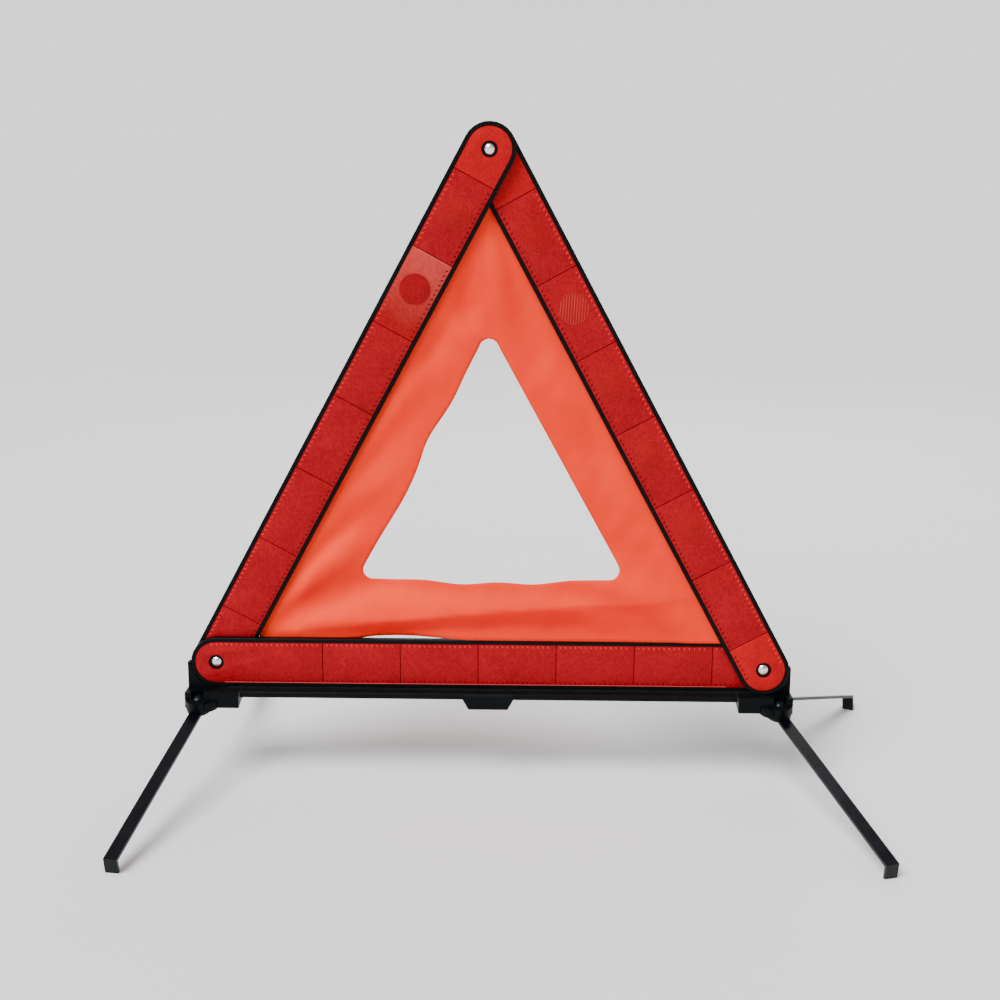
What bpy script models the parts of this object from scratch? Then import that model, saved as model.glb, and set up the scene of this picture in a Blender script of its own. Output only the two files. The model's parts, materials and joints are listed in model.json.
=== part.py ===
"""Folding warning triangle on four swing-out steel legs.

Two arms hinge on rivets at the ends of a bottom bar and snap together at the apex.
The three laps are cyclic: the right arm lies over the bar, the bar over the left arm,
and the left arm over the right one, so each arm leans slightly out of the bar's plane.
A fabric panel with a triangular hole is clamped in a rebate behind the two arms.
Under the bar, a channel housing with an end block at each end carries the legs.
Metres, +Z up, front of the triangle towards -Y, feet on Z = 0.
"""
import math

import bmesh
import bpy
from mathutils import Matrix, Vector

MM = 0.001

# Triangle layout
BASE_PITCH = 400 * MM  # between the two hinge rivets
RISE = 367 * MM  # from the hinge rivets up to the apex
BAND_WIDTH = 37 * MM  # width of the bar and of both arms
TRAY_DEPTH = 5.6 * MM
BASE_OFFSET = 6.6 * MM  # how far an arm's middle plane is from the bar's at its hinge
APEX_OFFSET = 4.1 * MM  # and from the bar's plane, on the other side, at the apex

# Trays and reflectors
RIM = 2.7 * MM
POCKET_DEPTH = 1.8 * MM
REFLECTOR_THICKNESS = 1.2 * MM
REFLECTOR_SINK = 0.3 * MM  # front of the reflector below the rim
GAP = 0.3 * MM  # between pieces that touch
RIVET_WINDOW = 11.2 * MM  # diameter of the hole in a reflector round a rivet
REBATE_WIDTH = 7 * MM
REBATE_FLOOR = 0.3 * MM  # behind a tray's middle plane
REBATE_START = 30 * MM
REBATE_END = 392 * MM
CLAMP_START = 60 * MM
CLAMP_END = 290 * MM
CLAMP_WIDTH = 5 * MM
CLAMP_THICKNESS = 0.8 * MM

# Rivets
RIVET_RADIUS = 2.4 * MM
RIVET_HOLE = 2.6 * MM
BAR_HOLE = 3.0 * MM  # wider, because the arms' rivets lean in it
RIVET_HEAD = 3.7 * MM
RIVET_DOME = 1.4 * MM
TAIL_POCKET = 4.4 * MM
TAIL_SINK = 1.8 * MM
APEX_SHANK = 3 * MM
NIB_RADIUS = 2.9 * MM
NIB_HOLE = 3.4 * MM
NIB_LENGTH = 5 * MM

# Fabric panel
PANEL_THICKNESS = 0.5 * MM
PANEL_TUCK = 5 * MM  # how far the panel reaches into the rebates
PANEL_LEVEL = 1.0 * MM  # behind the trays' middle planes
PANEL_BOTTOM = 20 * MM  # height of its lower edge above the hinge rivets
PANEL_TOP = 300 * MM
HOLE_BOTTOM = 60 * MM
HOLE_TOP = 240 * MM
HOLE_HALF_WIDTH = 97 * MM
HOLE_CORNER = 7 * MM

# Housing
HOUSING_TOP = -19.2 * MM
HOUSING_BOTTOM = -23.6 * MM
HOUSING_FRONT = -12 * MM
HOUSING_REAR = 21.5 * MM
HOUSING_WALL = 2 * MM
HOUSING_END = 181.7 * MM
BLOCK_INNER = 182 * MM
BLOCK_OUTER = 221.2 * MM
BLOCK_FRONT = -15 * MM
BLOCK_REAR = 24.5 * MM
BLOCK_EDGE = -30.8 * MM  # lower front and back edges of an end block
BLOCK_MIDDLE = -28 * MM  # its underside between them
BAR_CLEARANCE = 0.6 * MM  # between an ear's web and the bar's round end
EAR_INNER = 201 * MM
EAR_OUTER = 220.9 * MM
EAR_HALF_DEPTH = 2.8 * MM
EAR_TOP = 0 * MM
CATCH_TOP_WIDTH = 36.6 * MM
CATCH_BOTTOM_WIDTH = 28.6 * MM
CATCH_DEPTH = 26 * MM
CATCH_BOTTOM = -30.9 * MM

# Legs
GROUND = -86.5 * MM  # height of the ground below the hinge rivets
PIN_X = 212 * MM
PIN_FRONT = -10.5 * MM
PIN_REAR = 20 * MM
PIN_Z = -32.6 * MM
LEG_LENGTH = 164 * MM  # from the pin to the bend
LEG_WIDTH = 9 * MM
LEG_THICKNESS = 2.2 * MM
FOOT_HEIGHT = 10 * MM
EYE_RADIUS = 9 * MM
PIN_RADIUS = 2 * MM
PIN_HOLE = 2.2 * MM
PIN_HEAD = 4 * MM
HEAD_POCKET = 4.7 * MM
BOSS_RADIUS = 9.3 * MM
BOSS_START = 1.5 * MM  # above a leg's middle plane
BOSS_END = 9.5 * MM
HEAD_SEAT = 9.2 * MM
# side, front (-1) or rear (+1), and how far the bend stands outside the pin
LEGS = {
    "front_left": (-1, -1, 23 * MM),
    "front_right": (1, -1, 47.5 * MM),
    "rear_left": (-1, 1, -8 * MM),
    "rear_right": (1, 1, 88 * MM),
}

ARM_LENGTH = math.hypot(BASE_PITCH / 2, math.hypot(RISE, BASE_OFFSET + APEX_OFFSET))
LEAN = math.atan2(BASE_OFFSET + APEX_OFFSET, RISE)
ARM_ANGLE = math.acos(BASE_PITCH / 2 / ARM_LENGTH)
FRONT = -TRAY_DEPTH / 2
BACK = TRAY_DEPTH / 2
POCKET_FLOOR = FRONT + POCKET_DEPTH

BLACK = ("black_plastic", (0.012, 0.014, 0.015), 0.45, 0.0)
RED = ("red_reflector", (0.45, 0.012, 0.014), 0.25, 0.0)
ORANGE = ("orange_fabric", (1.0, 0.13, 0.05), 0.7, 0.0)
STEEL = ("black_steel", (0.02, 0.021, 0.023), 0.35, 0.8)
ALUMINIUM = ("bright_aluminium", (0.8, 0.8, 0.8), 0.25, 1.0)


def clear_scene():
    for old in list(bpy.data.objects):
        bpy.data.objects.remove(old, do_unlink=True)


def new_collection(name):
    made = bpy.data.collections.new(name)
    bpy.context.scene.collection.children.link(made)
    return made


def paint(obj, look):
    """Give obj a Principled material of its own."""
    name, colour, roughness, metallic = look
    made = bpy.data.materials.new(f"{obj.name}_{name}")
    made.use_nodes = True
    shader = made.node_tree.nodes["Principled BSDF"]
    shader.inputs["Base Color"].default_value = (*colour, 1)
    shader.inputs["Roughness"].default_value = roughness
    shader.inputs["Metallic"].default_value = metallic
    obj.data.materials.clear()
    obj.data.materials.append(made)


def place(obj, parent, collection, look=None):
    """Link obj under an empty, at the place that its own transform says in that empty's axes."""
    for held in list(obj.users_collection):
        held.objects.unlink(obj)
    collection.objects.link(obj)
    obj.parent = parent
    if look:
        paint(obj, look)
    else:
        obj.hide_render = True
        obj.display_type = "WIRE"
    return obj


def new_empty(name, parent, matrix):
    made = bpy.data.objects.new(name, None)
    bpy.context.scene.collection.objects.link(made)
    made.empty_display_size = 0.01
    made.parent = parent
    made.matrix_local = matrix
    return made


def frame_of(origin, along, normal):
    """Axes with X along a piece, Z towards its back and Y across it."""
    across = normal.cross(along)
    turn = Matrix((along, across, normal)).transposed().to_4x4()
    return Matrix.Translation(origin) @ turn


def arc(centre, radius, start, end, steps):
    """Points on an arc, both ends included; angles in degrees."""
    points = []
    for n in range(steps + 1):
        angle = math.radians(start + (end - start) * n / steps)
        points.append((centre[0] + radius * math.cos(angle), centre[1] + radius * math.sin(angle)))
    return points


def stadium(length, radius, steps=14):
    """A flat bar's outline with round ends, centred on (0, 0) and (length, 0)."""
    return arc((0, 0), radius, 90, 270, steps) + arc((length, 0), radius, -90, 90, steps)


def rounded(corners, radius, steps=4):
    """A polygon's outline with each corner replaced by an arc tangent to its sides."""
    points = []
    for n, corner in enumerate(corners):
        here = Vector(corner)
        back = (Vector(corners[n - 1]) - here).normalized()
        ahead = (Vector(corners[(n + 1) % len(corners)]) - here).normalized()
        half = back.angle(ahead) / 2
        centre = here + (back + ahead).normalized() * radius / math.sin(half)
        first = here + back * radius / math.tan(half) - centre
        last = here + ahead * radius / math.tan(half) - centre
        sweep = first.angle_signed(last)
        for step in range(steps + 1):
            points.append(centre + Matrix.Rotation(-sweep * step / steps, 2) @ first)
    return [tuple(p) for p in points]


def plate(name, outlines, low, high):
    """A flat piece from closed outlines in XY, between two heights; inner outlines are holes."""
    curve = bpy.data.curves.new(name, "CURVE")
    curve.dimensions = "2D"
    curve.fill_mode = "BOTH"
    curve.extrude = (high - low) / 2
    for outline in outlines:
        spline = curve.splines.new("POLY")
        spline.points.add(len(outline) - 1)
        for point, (x, y) in zip(spline.points, outline):
            point.co = (x, y, 0, 1)
        spline.use_cyclic_u = True
    drawn = bpy.data.objects.new(name + "_outline", curve)
    bpy.context.scene.collection.objects.link(drawn)
    bpy.context.view_layer.update()
    evaluated = drawn.evaluated_get(bpy.context.evaluated_depsgraph_get())
    mesh = bpy.data.meshes.new_from_object(evaluated)
    bpy.data.objects.remove(drawn)
    mesh.name = name
    welded = bmesh.new()
    welded.from_mesh(mesh)
    bmesh.ops.remove_doubles(welded, verts=welded.verts, dist=1e-6)
    bmesh.ops.translate(welded, verts=welded.verts, vec=(0, 0, (low + high) / 2))
    bmesh.ops.recalc_face_normals(welded, faces=welded.faces)
    welded.to_mesh(mesh)
    welded.free()
    return bpy.data.objects.new(name, mesh)


def block(name, low, high):
    """A box between two corners."""
    size = Vector(high) - Vector(low)
    middle = (Vector(high) + Vector(low)) / 2
    shape = bmesh.new()
    bmesh.ops.create_cube(shape, size=1, matrix=Matrix.Translation(middle) @ Matrix.Diagonal((*size, 1)))
    mesh = bpy.data.meshes.new(name)
    shape.to_mesh(mesh)
    shape.free()
    return bpy.data.objects.new(name, mesh)


def rod(name, radius, low, high, x=0.0, segments=32):
    """A cylinder along Z."""
    shape = bmesh.new()
    bmesh.ops.create_cone(
        shape, cap_ends=True, segments=segments, radius1=radius, radius2=radius, depth=high - low,
        matrix=Matrix.Translation((x, 0, (low + high) / 2)),
    )
    mesh = bpy.data.meshes.new(name)
    shape.to_mesh(mesh)
    shape.free()
    return bpy.data.objects.new(name, mesh)


def turned(name, profile, steps=28):
    """A turned piece; the profile runs from the top of its outer side to the bottom."""
    mesh = bpy.data.meshes.new(name)
    points = [(r, 0, z) for r, z in profile]
    mesh.from_pydata(points, [(n, n + 1) for n in range(len(points) - 1)], [])
    obj = bpy.data.objects.new(name, mesh)
    screw = obj.modifiers.new("turn", "SCREW")
    screw.steps = steps
    screw.render_steps = steps
    screw.use_merge_vertices = True
    screw.merge_threshold = 0.00001
    return obj


def boolean(obj, other, operation="DIFFERENCE"):
    cut = obj.modifiers.new(other.name, "BOOLEAN")
    cut.operation = operation
    cut.object = other
    return obj


def bevel(obj, width, segments=1):
    soft = obj.modifiers.new("edges", "BEVEL")
    soft.width = width
    soft.segments = segments
    soft.limit_method = "ANGLE"
    soft.angle_limit = math.radians(50)
    return obj


def head_arc(top, radius, height, steps=6):
    """The domed front of a rivet's head, from its crown on the axis to its rim."""
    sphere = (radius**2 + height**2) / (2 * height)
    half = math.degrees(math.asin(radius / sphere))
    rim = arc((0, top - sphere), sphere, 90, 90 - half, steps)[1:]
    return [(0, top)] + rim


def rivet(name, head_base, tail_base, tail_height):
    """A rivet along Z, its head in front (-Z is the front, so it is drawn upside down)."""
    dome = head_arc(RIVET_DOME, RIVET_HEAD, RIVET_DOME)
    reach = tail_base - head_base
    profile = dome + [
        (RIVET_RADIUS, 0),
        (RIVET_RADIUS, -reach),
        (RIVET_HEAD, -reach),
        (RIVET_HEAD - 0.4 * MM, -reach - tail_height),
        (0, -reach - tail_height),
    ]
    obj = turned(name, profile)
    obj.matrix_local = Matrix.Translation((0, 0, head_base)) @ Matrix.Rotation(math.pi, 4, "X")
    return obj


def cutter(obj, parent):
    return place(obj, parent, CUTTERS)


def tray(name, frame, length, holes):
    """A shallow black tray that holds a reflector, with rivet holes at the given lengths."""
    body = plate(name, [stadium(length, BAND_WIDTH / 2)], FRONT, BACK)
    bevel(body, 0.5 * MM)
    pocket = plate(name + "_pocket", [stadium(length, BAND_WIDTH / 2 - RIM)], FRONT - MM, POCKET_FLOOR)
    boolean(body, cutter(pocket, frame))
    for n, (x, radius) in enumerate(holes):
        hole = rod(f"{name}_hole_{n}", radius, FRONT - 2 * MM, BACK + 2 * MM, x)
        boolean(body, cutter(hole, frame))
    return body


def reflector(name, length, windows):
    """The red prismatic insert, open round each rivet."""
    outlines = [stadium(length, BAND_WIDTH / 2 - RIM - GAP)]
    outlines += [arc((x, 0), RIVET_WINDOW / 2, 0, 345, 23) for x in windows]
    front = FRONT + REFLECTOR_SINK
    return plate(name, outlines, front, front + REFLECTOR_THICKNESS)


def build_bar(root):
    """The bottom bar, and the two rivets that the arms turn on."""
    start = Vector((-BASE_PITCH / 2, 0, 0))
    frame = new_empty("bar_frame", root, frame_of(start, Vector((1, 0, 0)), Vector((0, 1, 0))))
    body = tray("bottom_tray", frame, BASE_PITCH, [(0, BAR_HOLE), (BASE_PITCH, BAR_HOLE)])
    sink = rod("bottom_tray_tail_pocket", TAIL_POCKET, BACK - TAIL_SINK, BACK + MM, BASE_PITCH)
    boolean(body, cutter(sink, frame))
    place(body, frame, PARTS, BLACK)
    place(reflector("bottom_reflector", BASE_PITCH, [0, BASE_PITCH]), frame, PARTS, RED)
    return frame


def build_arm(root, side, name):
    """An arm in its own leaning frame, whose origin is on the hinge axis. Side is -1 on the left."""
    lean = LEAN * -side
    along = Vector((
        -side * math.cos(ARM_ANGLE),
        -math.sin(lean) * math.sin(ARM_ANGLE),
        math.cos(lean) * math.sin(ARM_ANGLE),
    ))
    normal = Vector((0, math.cos(lean), math.sin(lean)))
    hinge = Vector((side * BASE_PITCH / 2, -side * BASE_OFFSET, 0))
    frame = new_empty(name + "_hinge", root, frame_of(hinge, along, normal))
    apex_hole = RIVET_HOLE if side < 0 else NIB_HOLE
    body = tray(name + "_tray", frame, ARM_LENGTH, [(0, RIVET_HOLE), (ARM_LENGTH, apex_hole)])
    edge = -side * BAND_WIDTH / 2
    inner = edge + side * REBATE_WIDTH
    low_y, high_y = sorted((inner, edge - side * MM))
    rebate = block(name + "_rebate", (REBATE_START, low_y, REBATE_FLOOR), (REBATE_END, high_y, BACK + MM))
    boolean(body, cutter(rebate, frame))
    if side < 0:
        ring = plate(
            name + "_snap_nib",
            [arc((ARM_LENGTH, 0), NIB_RADIUS, 0, 345, 23), arc((ARM_LENGTH, 0), 1.5 * MM, 0, 345, 23)],
            BACK - 0.5 * MM, BACK + NIB_LENGTH,
        )
        boolean(body, cutter(ring, frame), "UNION")
    place(body, frame, PARTS, BLACK)
    place(reflector(name + "_reflector", ARM_LENGTH, [0, ARM_LENGTH]), frame, PARTS, RED)
    low_y, high_y = sorted((inner - side * GAP, inner - side * (GAP + CLAMP_WIDTH)))
    clamp_back = BACK - 0.2 * MM
    clamp = block(
        name.replace("arm", "panel") + "_clamp",
        (CLAMP_START, low_y, clamp_back - CLAMP_THICKNESS), (CLAMP_END, high_y, clamp_back),
    )
    place(bevel(clamp, 0.2 * MM), frame, PARTS, BLACK)
    return frame


def build_rivets(left, right):
    """Hinge rivets on the arms' own axes, and the apex rivet in the left arm's tip."""
    head = POCKET_FLOOR - 0.1 * MM
    place(rivet("left_hinge_rivet", head - BASE_OFFSET, BACK + 0.3 * MM, 1.2 * MM), left, PARTS, ALUMINIUM)
    tail = BASE_OFFSET + BACK - TAIL_SINK + 0.3 * MM
    place(rivet("right_hinge_rivet", head, tail, 1.2 * MM), right, PARTS, ALUMINIUM)
    dome = head_arc(RIVET_DOME, RIVET_HEAD, RIVET_DOME)
    apex = turned("apex_rivet", dome + [(RIVET_RADIUS, 0), (RIVET_RADIUS, -APEX_SHANK), (0, -APEX_SHANK)])
    apex.matrix_local = Matrix.Translation((ARM_LENGTH, 0, head)) @ Matrix.Rotation(math.pi, 4, "X")
    place(apex, left, PARTS, ALUMINIUM)


def inner_half_width(z):
    """Half the clear width between the arms' inner edges, at a height above the hinges."""
    slope = BASE_PITCH / 2 / RISE
    meeting = RISE - BAND_WIDTH / 2 / math.sin(math.atan(slope))
    return slope * (meeting - z)


def panel_level(x, z):
    """Where the panel lies, from behind the leaning left arm to behind the leaning right one."""
    swing = BASE_OFFSET - math.tan(LEAN) * z
    return PANEL_LEVEL - swing * x / (inner_half_width(z) + PANEL_TUCK / 2)


def build_panel(root):
    corners = []
    for z, turn in ((PANEL_BOTTOM, 1), (PANEL_TOP, -1)):
        reach = inner_half_width(z) + PANEL_TUCK
        corners += [(-turn * reach, z), (turn * reach, z)]
    outline = []
    steps = 12
    for n, (x, z) in enumerate(corners):
        next_x, next_z = corners[(n + 1) % 4]
        outline += [(x + (next_x - x) * s / steps, z + (next_z - z) * s / steps) for s in range(steps)]
    hole = rounded(
        [(-HOLE_HALF_WIDTH, HOLE_BOTTOM), (HOLE_HALF_WIDTH, HOLE_BOTTOM), (0, HOLE_TOP)], HOLE_CORNER
    )
    panel = plate("warning_panel", [outline, hole], -PANEL_THICKNESS / 2, PANEL_THICKNESS / 2)
    for vertex in panel.data.vertices:
        x, z, depth = vertex.co
        vertex.co = (x, panel_level(x, z) - depth, z)
    place(panel, root, PARTS, ORANGE)


def build_housing(root):
    """The channel under the bar, open below, with the catch tab at its middle."""
    front, rear, wall = HOUSING_FRONT, HOUSING_REAR, HOUSING_WALL
    section = [
        (front, HOUSING_TOP), (front, HOUSING_BOTTOM), (front + wall, HOUSING_BOTTOM),
        (front + wall, HOUSING_TOP - wall), (rear - wall, HOUSING_TOP - wall),
        (rear - wall, HOUSING_BOTTOM), (rear, HOUSING_BOTTOM), (rear, HOUSING_TOP),
    ]
    body = plate("base_housing", [section], -HOUSING_END, HOUSING_END)
    body.matrix_local = Matrix(((0, 0, 1, 0), (1, 0, 0, 0), (0, 1, 0, 0), (0, 0, 0, 1)))
    top, bottom = CATCH_TOP_WIDTH / 2, CATCH_BOTTOM_WIDTH / 2
    catch = plate(
        "base_housing_catch",
        [[(-top, HOUSING_TOP - MM), (-top, HOUSING_BOTTOM), (-bottom, CATCH_BOTTOM),
          (bottom, CATCH_BOTTOM), (top, HOUSING_BOTTOM), (top, HOUSING_TOP - MM)]],
        -CATCH_DEPTH / 2, CATCH_DEPTH / 2,
    )
    catch.matrix_local = Matrix.Rotation(math.pi / 2, 4, "X")
    boolean(body, cutter(catch, root), "UNION")
    place(bevel(body, 0.4 * MM), root, PARTS, BLACK)


def leg_frame(side, rear, outward):
    """A pin's axes: Z up along the pin, X along the opened leg. The leg's plane holds world X."""
    ahead = math.sqrt(LEG_LENGTH**2 - outward**2)
    drop = PIN_Z - GROUND - FOOT_HEIGHT
    tilt = math.asin(drop / ahead)
    along = Vector((side * outward, rear * ahead * math.cos(tilt), -drop)) / LEG_LENGTH
    up = Vector((0, rear * math.sin(tilt), math.cos(tilt)))
    level = PIN_REAR if rear > 0 else PIN_FRONT
    return frame_of(Vector((side * PIN_X, level, PIN_Z)), along, up)


def build_block(root, side, name, pins):
    """An end block, its ear hollowed to the bar's round end, and the two bosses for the leg pins."""
    section = [
        (BLOCK_FRONT, HOUSING_TOP), (BLOCK_FRONT, BLOCK_EDGE), (PIN_FRONT + EYE_RADIUS, BLOCK_MIDDLE),
        (PIN_REAR - EYE_RADIUS, BLOCK_MIDDLE), (BLOCK_REAR, BLOCK_EDGE), (BLOCK_REAR, HOUSING_TOP),
    ]
    low_x, high_x = sorted((side * BLOCK_INNER, side * BLOCK_OUTER))
    body = plate(name, [section], low_x, high_x)
    body.matrix_local = Matrix(((0, 0, 1, 0), (1, 0, 0, 0), (0, 1, 0, 0), (0, 0, 0, 1)))
    low_x, high_x = sorted((side * EAR_INNER, side * EAR_OUTER))
    ear = block(
        name + "_ear", (low_x, -EAR_HALF_DEPTH, HOUSING_TOP - 2 * MM), (high_x, EAR_HALF_DEPTH, EAR_TOP)
    )
    boolean(body, cutter(ear, root), "UNION")
    around_bar = rod(name + "_bar_clearance", BAND_WIDTH / 2 + BAR_CLEARANCE, -BAND_WIDTH, BAND_WIDTH)
    to_hinge = Matrix.Translation((side * BASE_PITCH / 2, 0, 0))
    around_bar.matrix_local = to_hinge @ Matrix.Rotation(math.pi / 2, 4, "X")
    boolean(body, cutter(around_bar, root))
    for n, pin in enumerate(pins):
        boolean(body, cutter(rod(f"{name}_boss_{n}", BOSS_RADIUS, BOSS_START, BOSS_END), pin), "UNION")
    for n, pin in enumerate(pins):
        bore = [
            (0, 20 * MM), (HEAD_POCKET, 20 * MM), (HEAD_POCKET, HEAD_SEAT), (PIN_HOLE, HEAD_SEAT),
            (PIN_HOLE, -10 * MM), (0, -10 * MM),
        ]
        boolean(body, cutter(turned(f"{name}_bore_{n}", bore, 24), pin))
    place(body, root, PARTS, BLACK)


def build_leg(name, pin):
    """A flat steel strip with a round eye and an upright foot bent down at its end."""
    down = pin.matrix_local.to_3x3().transposed() @ Vector((0, 0, -1))
    foot = Vector((down.x, down.z)).normalized()
    outer = Vector((-foot.y, foot.x))
    half = LEG_THICKNESS / 2
    bend = Vector((LEG_LENGTH, 0))
    slip = half * (1 - foot.x) / -foot.y
    reach = FOOT_HEIGHT + 4 * MM
    profile = [
        (0, half), tuple(bend + half * outer - slip * foot), tuple(bend + half * outer + reach * foot),
        tuple(bend - half * outer + reach * foot), tuple(bend - half * outer + slip * foot), (0, -half),
    ]
    body = plate("leg_" + name, [profile], -LEG_WIDTH / 2, LEG_WIDTH / 2)
    body.matrix_local = Matrix.Rotation(math.pi / 2, 4, "X")
    eye = rod(f"leg_{name}_eye", EYE_RADIUS, -half, half)
    boolean(body, cutter(eye, pin), "UNION")
    boolean(body, cutter(rod(f"leg_{name}_bore", PIN_HOLE, -5 * MM, 5 * MM), pin))
    return body


def build_pin(name):
    """A rivet through a boss and a leg's eye, domed on top."""
    low = -LEG_THICKNESS / 2 - 0.3 * MM
    high = HEAD_SEAT + GAP
    dome = head_arc(high + 1.6 * MM, PIN_HEAD, 1.6 * MM)
    profile = dome + [
        (PIN_RADIUS, high), (PIN_RADIUS, low), (PIN_HEAD, low),
        (PIN_HEAD - 0.5 * MM, low - MM), (0, low - MM),
    ]
    return turned("leg_pin_" + name, profile, 20)


def build_legs(root):
    pins = {}
    ground = block("ground_plane", (-MM * 500, -MM * 500, GROUND - 30 * MM), (MM * 500, MM * 500, GROUND))
    cutter(ground, root)
    for name, (side, rear, outward) in LEGS.items():
        pin = new_empty(f"leg_{name}_pivot", root, leg_frame(side, rear, outward))
        pins[name] = pin
        leg = build_leg(name, pin)
        boolean(leg, ground)
        place(leg, pin, PARTS, STEEL)
        place(build_pin(name), pin, PARTS, STEEL)
    for side, word in ((-1, "left"), (1, "right")):
        build_block(root, side, "end_block_" + word, [pins["front_" + word], pins["rear_" + word]])


def shade_round_pieces():
    for obj in PARTS.objects:
        obj.data.shade_smooth()
        obj.data.set_sharp_from_angle(angle=math.radians(35))


def stand_at_origin(root):
    """Move the whole object so that its box's bottom centre is the world origin."""
    bpy.context.view_layer.update()
    depsgraph = bpy.context.evaluated_depsgraph_get()
    points = []
    for obj in PARTS.objects:
        solid = obj.evaluated_get(depsgraph)
        points += [solid.matrix_world @ vertex.co for vertex in solid.data.vertices]
    low = [min(p[n] for p in points) for n in range(3)]
    high = [max(p[n] for p in points) for n in range(3)]
    root.location = (-(low[0] + high[0]) / 2, -(low[1] + high[1]) / 2, -low[2])


clear_scene()
PARTS = new_collection("warning_triangle")
CUTTERS = new_collection("cutters")
ROOT = new_empty("triangle_root", None, Matrix.Identity(4))
build_bar(ROOT)
LEFT = build_arm(ROOT, -1, "left_arm")
RIGHT = build_arm(ROOT, 1, "right_arm")
build_rivets(LEFT, RIGHT)
build_panel(ROOT)
build_housing(ROOT)
build_legs(ROOT)
shade_round_pieces()
stand_at_origin(ROOT)
bpy.context.view_layer.update()
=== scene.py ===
import json
import math

import bmesh
import bpy
from mathutils import Matrix, Vector, noise


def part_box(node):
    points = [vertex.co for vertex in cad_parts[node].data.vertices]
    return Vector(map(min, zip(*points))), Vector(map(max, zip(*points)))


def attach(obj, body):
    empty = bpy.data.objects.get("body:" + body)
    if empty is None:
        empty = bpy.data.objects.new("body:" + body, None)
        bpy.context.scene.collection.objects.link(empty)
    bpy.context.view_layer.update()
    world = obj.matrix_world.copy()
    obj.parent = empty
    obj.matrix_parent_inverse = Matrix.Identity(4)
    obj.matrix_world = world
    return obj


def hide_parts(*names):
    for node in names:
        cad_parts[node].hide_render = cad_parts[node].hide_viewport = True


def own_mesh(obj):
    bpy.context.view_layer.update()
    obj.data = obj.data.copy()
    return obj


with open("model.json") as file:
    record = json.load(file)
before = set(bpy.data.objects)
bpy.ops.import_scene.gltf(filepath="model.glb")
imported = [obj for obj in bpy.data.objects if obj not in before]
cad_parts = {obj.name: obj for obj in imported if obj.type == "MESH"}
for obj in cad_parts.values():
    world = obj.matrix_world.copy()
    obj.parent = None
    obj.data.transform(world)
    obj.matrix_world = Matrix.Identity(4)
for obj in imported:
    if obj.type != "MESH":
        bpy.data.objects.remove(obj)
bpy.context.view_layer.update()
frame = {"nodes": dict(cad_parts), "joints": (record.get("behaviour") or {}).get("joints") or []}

MM = 0.001

# Where things are, from the frame
JOINTS = {joint["name"]: joint for joint in frame["joints"]}
LEFT_HINGE = Vector(JOINTS["left_arm_fold"]["pos_m"])
RIGHT_HINGE = Vector(JOINTS["right_arm_fold"]["pos_m"])
LEFT_NORMAL = Vector(JOINTS["left_arm_fold"]["axis"])
RIGHT_NORMAL = Vector(JOINTS["right_arm_fold"]["axis"])
BAR_LOW, BAR_HIGH = (Vector(corner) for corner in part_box("bottom_tray"))
BAR_MIDDLE = (BAR_LOW + BAR_HIGH) / 2
BAND = BAR_HIGH.z - BAR_LOW.z
PITCH = RIGHT_HINGE.x - LEFT_HINGE.x
TRAY_FRONT = (BAR_LOW.y - BAR_HIGH.y) / 2  # a tray's front, from its middle plane
TRAY_BACK = -TRAY_FRONT
APEX = sum((Vector(corner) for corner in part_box("apex_rivet")), Vector()) / 2


def in_plane(direction, normal):
    """The part of a direction that lies in the plane with this normal."""
    return direction - direction.dot(normal) * normal


ARM_VECTOR = in_plane(APEX - LEFT_HINGE, LEFT_NORMAL)
ARM_LENGTH = ARM_VECTOR.length
LEFT_ALONG = ARM_VECTOR.normalized()
RIGHT_ALONG = Vector((-LEFT_ALONG.x, -LEFT_ALONG.y, LEFT_ALONG.z))

# Reflectors
REFLECTOR_LOW, REFLECTOR_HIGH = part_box("bottom_reflector")
REFLECTOR_RADIUS = (REFLECTOR_HIGH[2] - REFLECTOR_LOW[2]) / 2
LENS_RADIUS = REFLECTOR_RADIUS - 0.1 * MM
LENS_FRONT = TRAY_FRONT + 0.35 * MM
LENS_THICKNESS = 1.15 * MM
LENS_EDGE = 0.12 * MM
LENS_SINK = 0.2 * MM  # how far a raised mark goes into the lens
WINDOW_RADIUS = 5.6 * MM
GROOVE = 0.45 * MM
BAR_DIVIDERS = [(78.5 + 57 * n) * MM for n in range(6)]
LEFT_DIVIDERS = [(39.5 + 59.4 * n) * MM for n in range(7)]
RIGHT_DIVIDERS = [(24.6 + 59.3 * n) * MM for n in range(7)]
PALE_START = 290 * MM  # the sun-bleached segment of the left arm, along it
PALE_END = 330 * MM

# The wedges in a row along each long edge of a reflector
RIB_PITCH = 3.7 * MM
RIB_HALF = 0.75 * MM
RIB_LEAN = 0.5 * MM
RIB_INNER = REFLECTOR_RADIUS - 3.1 * MM
RIB_OUTER = REFLECTOR_RADIUS - 0.7 * MM
RIB_TOP = LENS_FRONT - 0.16 * MM
RIB_FOOT = LENS_FRONT + 0.3 * MM
RIB_TAPER = 0.45
RIB_MARGIN = 1.2 * MM  # from a row's end to a divider

# Round and straight marks on a reflector
DISC_RADIUS = 11.1 * MM
DISC_HEIGHT = 0.14 * MM
RING_WIDTH = 0.55 * MM
RING_HEIGHT = 0.12 * MM  # above its disc
LINE_HEIGHT = 0.1 * MM
LINE_WIDTH = 0.5 * MM
MARK_EDGE = 0.04 * MM

# A reflector's material slots, in order; the two rib slots are one rib material, painted pale as a
# painted highlight on one side and dark as painted shade on the other
RED, PAINTED_LIT_RIB, DISC, PALE, BRIGHT, PAINTED_SHADED_RIB, FAINT_DISC, STRIPED_DISC, RING, LINE = range(10)

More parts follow.
